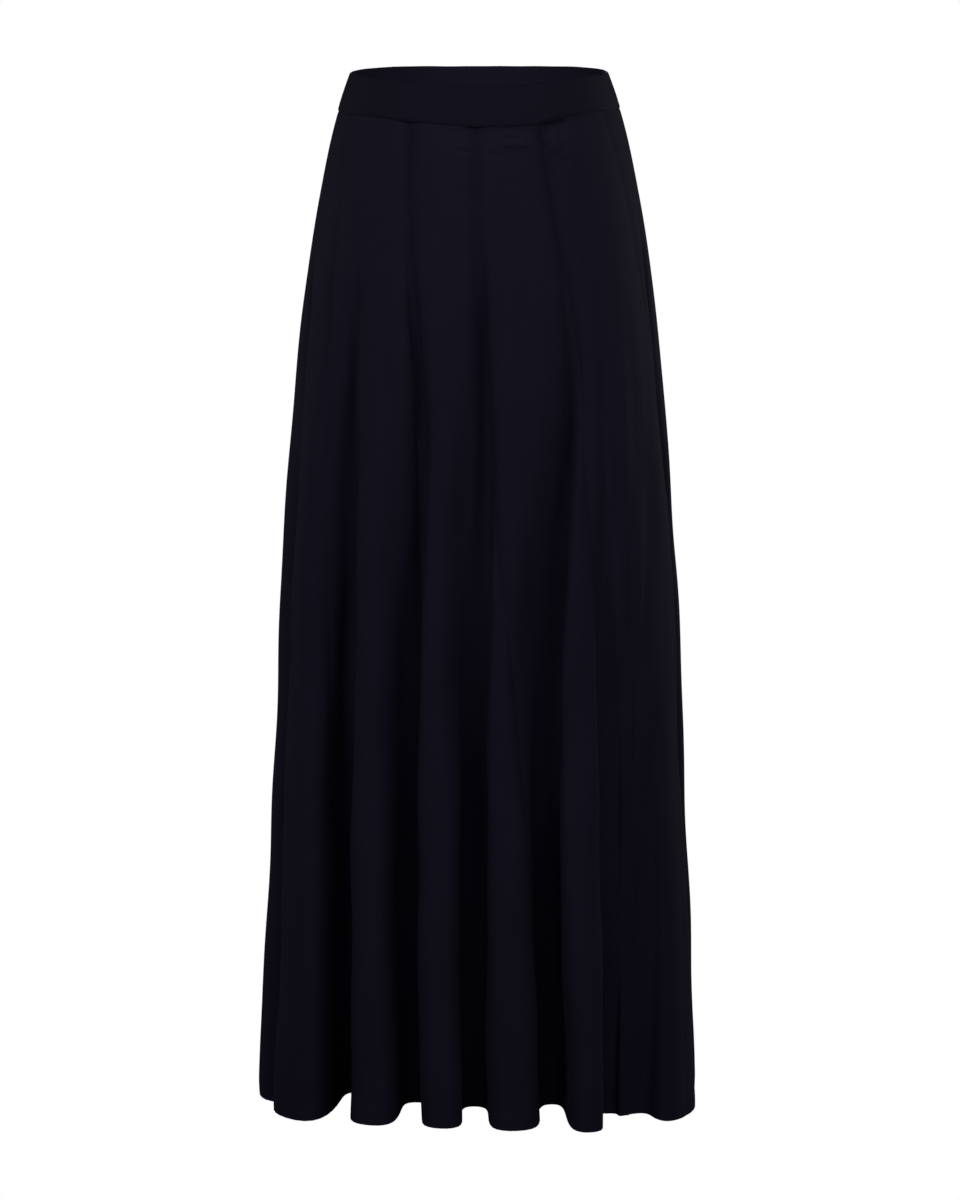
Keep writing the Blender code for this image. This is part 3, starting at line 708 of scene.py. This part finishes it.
# %% A socket that does sums
class Value:
    """A number that varies over the surface, held by a socket of the shader's node tree."""

    def __init__(self, tree, socket):
        self.tree, self.socket = tree, socket

    def math(self, operation, left, right):
        """One Math node on two terms, each a Value or a plain number."""
        node = self.tree.nodes.new("ShaderNodeMath")
        node.operation = operation
        for place, term in zip(node.inputs, (left, right)):
            if isinstance(term, Value):
                self.tree.links.new(term.socket, place)
            else:
                place.default_value = term
        return Value(self.tree, node.outputs[0])

    def __add__(self, other):
        return self.math("ADD", self, other)

    def __sub__(self, other):
        return self.math("SUBTRACT", self, other)

    def __rsub__(self, other):
        return self.math("SUBTRACT", other, self)

    def __mul__(self, other):
        return self.math("MULTIPLY", self, other)

    __radd__, __rmul__ = __add__, __mul__


class Finish:
    """A material whose patterns are added by name of node, settings and sockets."""

    def __init__(self, name):
        self.material = bpy.data.materials.new(name)
        self.material.use_nodes = True
        self.tree = self.material.node_tree
        self.shader = self.tree.nodes["Principled BSDF"]

    def node(self, kind, settings=None, output=0, **sockets):
        """One node: its settings first, then values or links for its sockets, named with _ for spaces."""
        made = self.tree.nodes.new(kind)
        for name, value in (settings or {}).items():
            setattr(made, name, value)
        for name, value in sockets.items():
            self.feed(made.inputs[name.replace("_", " ")], value)
        return Value(self.tree, made.outputs[output])

    def feed(self, socket, value):
        """A link from a Value, or a plain number or colour on the socket itself."""
        if isinstance(value, Value):
            self.tree.links.new(value.socket, socket)
        else:
            socket.default_value = value

    def mix(self, factor, first, second):
        """Two colours mixed by a factor."""
        made = self.tree.nodes.new("ShaderNodeMix")
        made.data_type = "RGBA"
        by_type = [socket for socket in made.inputs if socket.type == "RGBA"]
        self.feed(made.inputs[0], factor)
        self.feed(by_type[0], first)
        self.feed(by_type[1], second)
        return Value(self.tree, next(socket for socket in made.outputs if socket.type == "RGBA"))

    def set(self, **sockets):
        """The finished material, with these values or links in its shader."""
        for name, value in sockets.items():
            self.feed(self.shader.inputs[name.replace("_", " ")], value)
        return self.material


# %% [markdown]
# ## The crepe
#
# Crepe is woven from tightly twisted yarns that draw the cloth into a fine pebbled grain, matte, with only
# a faint bloom of light where it turns away. Its grain is far smaller than a pixel of the whole view, so it
# shows as softness and not as a pattern. It could be painted as an image. Here it is fine noise and round
# pebbles on the cloth's own coordinates, so that it follows each fold, over slow cloudy changes in the
# depth of the dye. The band is the same cloth, pressed flatter, so it reads darker and smoother. The
# attribute that the panels carry paints shade into the colour beside the seams, a little darker there.

# %% The skirt's own cloth
NAVY_PALE = (0.0088, 0.0078, 0.0170, 1.0)
NAVY_DEEP = (0.0069, 0.0061, 0.0138, 1.0)
BAND_PALE = (0.0063, 0.0054, 0.0127, 1.0)
BAND_DEEP = (0.0051, 0.0043, 0.0105, 1.0)
BLACK = (0.0, 0.0, 0.0, 1.0)
# How far the painted shade darkens the colour beside the seams, towards black.
SEAM_SHADE = 0.15
GRAIN_SCALE, PEBBLE_SCALE, SLUB_SCALE, CLOUD_SCALE = 1250.0, 700.0, 400.0, 30.0  # in a metre of cloth


def crepe(name, pale, deep, roughness, grain_distance):
    """Pebbled cloth: height is 0.6 grain, 0.3 pebbles and 0.3 slub, tone 0.75 cloud and 0.25 grain."""
    finish = Finish(name)
    cloth = finish.node("ShaderNodeUVMap", {"uv_map": "cloth"})
    grain = finish.node("ShaderNodeTexNoise", Vector=cloth, Scale=GRAIN_SCALE, Detail=2.0, Roughness=0.6)
    pebbles = finish.node("ShaderNodeTexVoronoi", {"feature": "SMOOTH_F1"}, Vector=cloth, Scale=PEBBLE_SCALE)
    slub = finish.node("ShaderNodeTexNoise", Vector=cloth, Scale=SLUB_SCALE, Detail=1.0)
    cloud = finish.node("ShaderNodeTexNoise", Vector=cloth, Scale=CLOUD_SCALE, Detail=3.0, Roughness=0.55)
    height = grain * 0.6 + (1 - pebbles) * 0.3 + slub * 0.3
    tone = cloud * 0.75 + grain * 0.25
    # Painted shade: the seam mask mixes the base colour towards black beside the seams.
    painted_seam_shade = finish.node("ShaderNodeAttribute", {"attribute_name": "painted_seam_shade"}, output=2)
    return finish.set(
        Base_Color=finish.mix(painted_seam_shade * SEAM_SHADE, finish.mix(tone, deep, pale), BLACK),
        Roughness=roughness + (grain - 0.5) * 0.12,
        Specular_IOR_Level=0.05,
        Sheen_Weight=0.005,
        Sheen_Roughness=0.35,
        Normal=finish.node("ShaderNodeBump", Height=height, Distance=grain_distance, Strength=1.0),
    )


crepe_cloth = crepe("navy_crepe_cloth", NAVY_PALE, NAVY_DEEP, 0.80, 0.14 * MM)
band_cloth = crepe("navy_band_cloth", BAND_PALE, BAND_DEEP, 0.74, 0.09 * MM)
print("materials:", crepe_cloth.name, band_cloth.name)

# %% [markdown]
# ## The twelve gores
#
# Each gore replaces its own solid and is made of the crepe cloth. A gore could be drawn flat and draped,
# but its edges have to meet the next one along the whole seam, so it is cut straight from the skirt's
# surface. Its width at the waist and at the hem is printed, and its area: the cut is a tapered shape, so the
# area is added up strip by strip, with the allowances down both seams over the cut length, which has the
# hem's and the waist's allowance, and the hem's allowance across the hem.

# %% Make the gores
CUT_LENGTH = SKIRT_LENGTH + HEM_ALLOWANCE + TUCK
for number, gore in enumerate(GORES):
    following = GORES[(number + 1) % len(GORES)]
    outer, inner, cloth_uv, painted_seam_shade = gore_faces(gore, following, (number + 1) // len(GORES))
    panel = panel_object(gore.name + "_cloth", outer, inner, cloth_uv, painted_seam_shade, crepe_cloth)
    rows = along_rows(outer)[-1]
    top, hem = rows[0], rows[-1]
    strips = 0.5 * (rows[1:] + rows[:-1]) * np.diff(gore_levels() * SKIRT_LENGTH)
    area = float(strips.sum() + 2 * ALLOWANCE_WIDTH * CUT_LENGTH + HEM_ALLOWANCE * hem)
    band = "waistband_front" if "front" in gore.name else "waistband_back"
    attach(panel, BODY)
    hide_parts(gore.name)
    print(f"{gore.name}: {top:.3f} m at the waist, {hem:.3f} m at the hem, {area:.3f} m2 of cloth")

# %% [markdown]
# ## The waistband
#
# The band is a strip folded along its top edge, 33 to 38 mm wide when folded, in two halves that join at
# the sides. The gores' top edges lie between its two layers. It could be a flat strip with a Solidify and a
# Bevel modifier, but a pressed fold has its own section, so the strip is a line in profile, out from the
# oval and up the band, with a face half a thickness to either side of it, carried round half of the oval.

# %% The band's profile
BAND_PROUD, BAND_WALL = 0.8 * MM, 3.0 * MM  # how far it stands out past the gores, and its whole thickness
BAND_CLOTH = 1.0 * MM
BAND_HEIGHT = 35.5 * MM
BAND_ROWS, FOLD_POINTS = 20, 9
FOOT_ROLL, FOOT_ROLL_HEIGHT, BAND_BELLY = 0.9 * MM, 1.2 * MM, 0.3 * MM


def band_profile():
    """Rows of reach out, share up and drop below the rim: down the outer face and back up the inner one.

    The line goes up outside, over the fold in a half circle and down inside. The faces lie half a thickness
    along its normal, which is its slope turned by a right angle.
    """
    up = np.linspace(0.0, 1.0, BAND_ROWS)
    radius = 0.5 * (BAND_WALL - BAND_CLOTH)
    foot_roll = FOOT_ROLL * np.exp(-((up * BAND_HEIGHT / FOOT_ROLL_HEIGHT) ** 2))
    outside = BAND_PROUD - 0.5 * BAND_CLOTH - foot_roll + BAND_BELLY * np.sin(math.pi * up)
    inside = np.full_like(up, BAND_PROUD - BAND_WALL + 0.5 * BAND_CLOTH)
    drop = up * 0.5 * BAND_WALL
    turn = np.linspace(0.0, math.pi, FOLD_POINTS)[1:-1]
    fold_reach = BAND_PROUD - 0.5 * BAND_WALL + radius * np.cos(turn)
    fold_drop = 0.5 * BAND_WALL - radius * np.sin(turn)
    reach = np.concatenate([outside, fold_reach, inside[::-1]])
    share = np.concatenate([up, np.ones_like(turn), up[::-1]])
    drop = np.concatenate([drop, fold_drop, drop[::-1]])
    slope = np.gradient(np.stack([reach, share * BAND_HEIGHT - drop]), axis=1)
    slope *= 0.5 * BAND_CLOTH / np.linalg.norm(slope, axis=0)
    outer = np.column_stack([reach + slope[1], share, drop + slope[0]])
    inner = np.column_stack([reach - slope[1], share, drop - slope[0]])
    return np.concatenate([outer[::-1], inner])


BAND_WAVE = 0.35 * MM
WAVE_RISE = 0.4  # the share of a wave that also moves the cloth up


def band_unevenness(angle, share):
    """An ironed band still waves: sine waves, 7 and 17 to a turn, larger at the top than at the seam."""
    wave = 0.6 * np.sin(7.0 * angle + 0.6) + 0.4 * np.sin(17.0 * angle + 2.2)
    return BAND_WAVE * wave * (0.4 + 0.6 * share)


print(len(band_profile()), "points in the band's profile")

# %% Make the band
BAND_COLUMNS = 130
END_COLUMNS = 6  # of the columns beside a seam
SIDE_GROOVE, SIDE_ROLL = 1.6 * MM, 0.7 * MM


def band_loops(middle_deg):
    """The profile carried round half of the oval, rolled in at the side seams, and its metres of cloth."""
    radius = SECTIONS[0].half_width
    end = math.radians(90.0) + SEAM_OVERLAP / radius
    inset = SEAM_COLUMNS[:END_COLUMNS] / radius
    half = np.concatenate([end - inset, np.linspace(end - inset[-1], 0.0, BAND_COLUMNS // 2)[1:]])
    turned = np.concatenate([-half, half[-2::-1]])
    angle = math.radians(middle_deg) + turned
    groove = np.exp(-(((end - np.abs(turned)) * radius / SIDE_GROOVE) ** 2))
    low, high = band_edge("foot", angle), band_edge("rim", angle)
    columns = []
    for reach, share, drop in band_profile():
        wave = band_unevenness(angle, share)
        z = low + (high - low) * share - drop
        rolled = SIDE_ROLL * groove * math.copysign(1.0, reach - (BAND_PROUD - 0.5 * BAND_WALL))
        _, inward = oval_directions(angle, z)
        flat = oval_point(angle, z) - inward * (reach + wave - rolled)[:, None]
        columns.append(np.column_stack([flat, z + WAVE_RISE * wave]))
    loops = np.stack(columns, axis=1)
    round_it = along_rows(loops[:, :1])
    up_it = np.concatenate([[0.0], np.cumsum(np.linalg.norm(np.diff(loops[0], axis=0), axis=-1))])
    return loops, np.stack(np.broadcast_arrays(round_it, up_it), axis=-1)


for node, middle_deg in (("waistband_front", 0.0), ("waistband_back", 180.0)):
    loops, loops_uv = band_loops(middle_deg)
    band = closed_mesh(node + "_cloth", loops, loops_uv, np.zeros(loops.shape[:2]), band_cloth)
    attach(band, BODY)
    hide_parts(node)

# %% [markdown]
# ## Floor, backdrop and light
#
# The skirt hangs before plain white. The floor and the backdrop glow on their own and are hidden from every
# ray but the camera's, so they stay even and throw no light back on the cloth. A sky texture would light
# the skirt from all round and grey the valleys. So two large soft lights stand left and right of the
# camera, well round to the sides: they reach the ridges and leave the deep valleys dark. Weaker ones fill
# the front, edge both sides and light the back for the other views, and a small one lifts the inside of the
# waist.

# %% Floor and backdrop
BACKDROP_RADIUS, ROUND_COUNT, UP_COUNT = 12.0, 32, 17
FLOOR_HALF, FLOOR_HEIGHT = 4.0, -1.06


def glowing(name, strength):
    """A material that shines evenly and reflects nothing."""
    return Finish(name).set(
        Base_Color=BLACK,
        Specular_IOR_Level=0.0,
        Emission_Color=(1.0, 1.0, 1.0, 1.0),
        Emission_Strength=strength,
    )


def sphere_grid(name, radius, surface):
    """A backdrop: a sphere of points at even angles round and up, with one point at each pole."""
    up = np.linspace(-0.5 * math.pi, 0.5 * math.pi, UP_COUNT)[1:-1]
    round_it = np.linspace(0.0, 2 * math.pi, ROUND_COUNT, endpoint=False)
    height, turn = np.meshgrid(up, round_it, indexing="ij")
    level = np.cos(height)
    points = np.stack([level * np.cos(turn), level * np.sin(turn), np.sin(height)], axis=-1)
    points = np.concatenate([points.reshape(-1, 3), [[0, 0, -1], [0, 0, 1]]]) * radius
    corner = np.arange(turn.size).reshape(turn.shape)
    onward = np.roll(corner, -1, axis=1)
    faces = np.stack([corner[:-1], corner[1:], onward[1:], onward[:-1]], axis=-1).reshape(-1, 4).tolist()
    low, high = len(points) - 2, len(points) - 1
    faces += [[low, int(a), int(b)] for a, b in zip(corner[0], onward[0])]
    faces += [[high, int(b), int(a)] for a, b in zip(corner[-1], onward[-1])]
    mesh = bpy.data.meshes.new(name)
    mesh.from_pydata(points, [], faces)
    mesh.materials.append(surface)
    return mesh


def stage_object(name, mesh):
    """A piece of the set: seen by the camera, but by no other ray."""
    made = bpy.data.objects.new(name, mesh)
    bpy.context.scene.collection.objects.link(made)
    made.visible_diffuse = made.visible_glossy = made.visible_transmission = made.visible_shadow = False
    made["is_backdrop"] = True


white = glowing("studio_white", 1.0)
stage_object("backdrop", sphere_grid("backdrop", BACKDROP_RADIUS, white))
corners = [(x * FLOOR_HALF, y * FLOOR_HALF, FLOOR_HEIGHT) for x, y in ((-1, -1), (1, -1), (1, 1), (-1, 1))]
floor_mesh = bpy.data.meshes.new("floor")
floor_mesh.from_pydata(corners, [], [(0, 1, 2, 3)])
floor_mesh.materials.append(white)
stage_object("floor", floor_mesh)
print(f"a floor {2 * FLOOR_HALF:.0f} m wide and a backdrop {BACKDROP_RADIUS:.0f} m away")

# %% Lights: degrees, metres and watts
WORLD_STRENGTH = 0.01
Light = namedtuple("Light", "name azimuth elevation distance aim_y aim_z size power")
LIGHTS = (
    Light("key_left", -50, 35, 3.0, 0.0, -0.55, 1.1, 33.0),
    Light("key_right", 50, 35, 3.0, 0.0, -0.55, 1.1, 22.5),
    Light("fill_left", -25, 35, 3.0, 0.0, -0.55, 1.0, 6.5),
    Light("fill_right", 25, 35, 3.0, 0.0, -0.55, 1.0, 13.5),
    Light("front_low", 0, 5, 3.0, 0.0, -0.55, 1.0, 7.5),
    Light("high_right", 72, 35, 3.0, 0.0, -0.55, 1.0, 3.0),
    Light("side_right", 118, 8, 3.0, 0.0, -0.55, 1.0, 20.0),
    Light("side_left", -118, 8, 3.0, 0.0, -0.55, 1.0, 10.0),
    Light("back", 180, 2, 3.0, 0.0, -0.50, 1.6, 40.0),
    Light("waist_inside", 0, -30, 0.10, 0.085, 0.0, 0.12, 0.072),
)


def aim(direction):
    """The turns about x and z that point a light's -Z axis against this direction, from two arc tangents."""
    level = math.hypot(direction[0], direction[1])
    return (math.atan2(level, direction[2]), 0.0, math.atan2(direction[0], -direction[1]))


for light in LIGHTS:
    turn, rise = math.radians(light.azimuth), math.radians(light.elevation)
    direction = np.array([math.sin(turn) * math.cos(rise), -math.cos(turn) * math.cos(rise), math.sin(rise)])
    lamp = bpy.data.lights.new(light.name, "AREA")
    lamp.shape, lamp.size, lamp.energy = "SQUARE", light.size, light.power
    placed = bpy.data.objects.new(light.name, lamp)
    placed.location = np.array([0.0, light.aim_y, light.aim_z]) + light.distance * direction
    placed.rotation_euler = aim(direction)
    placed.visible_camera = False
    bpy.context.scene.collection.objects.link(placed)

world = bpy.data.worlds.new("studio")
world.use_nodes = True
background = world.node_tree.nodes["Background"]
background.inputs["Color"].default_value = (1.0, 1.0, 1.0, 1.0)
background.inputs["Strength"].default_value = WORLD_STRENGTH
bpy.context.scene.world = world
bpy.context.scene.view_settings.view_transform = "Standard"
print(len(LIGHTS), "lights")

# %% [markdown]
# ## Check the size and finish
#
# The cloth may stand a little proud of the solids, but the skirt must stay the size that it was packed at.

# %% Compare the two boxes and finish
scene_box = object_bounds()
grown = [max(abs(a - b) for a, b in zip(cad, seen)) / MM for cad, seen in zip(CAD_BOX, scene_box)]
print(f"corners of the box moved by {grown[0]:.1f} and {grown[1]:.1f} mm")
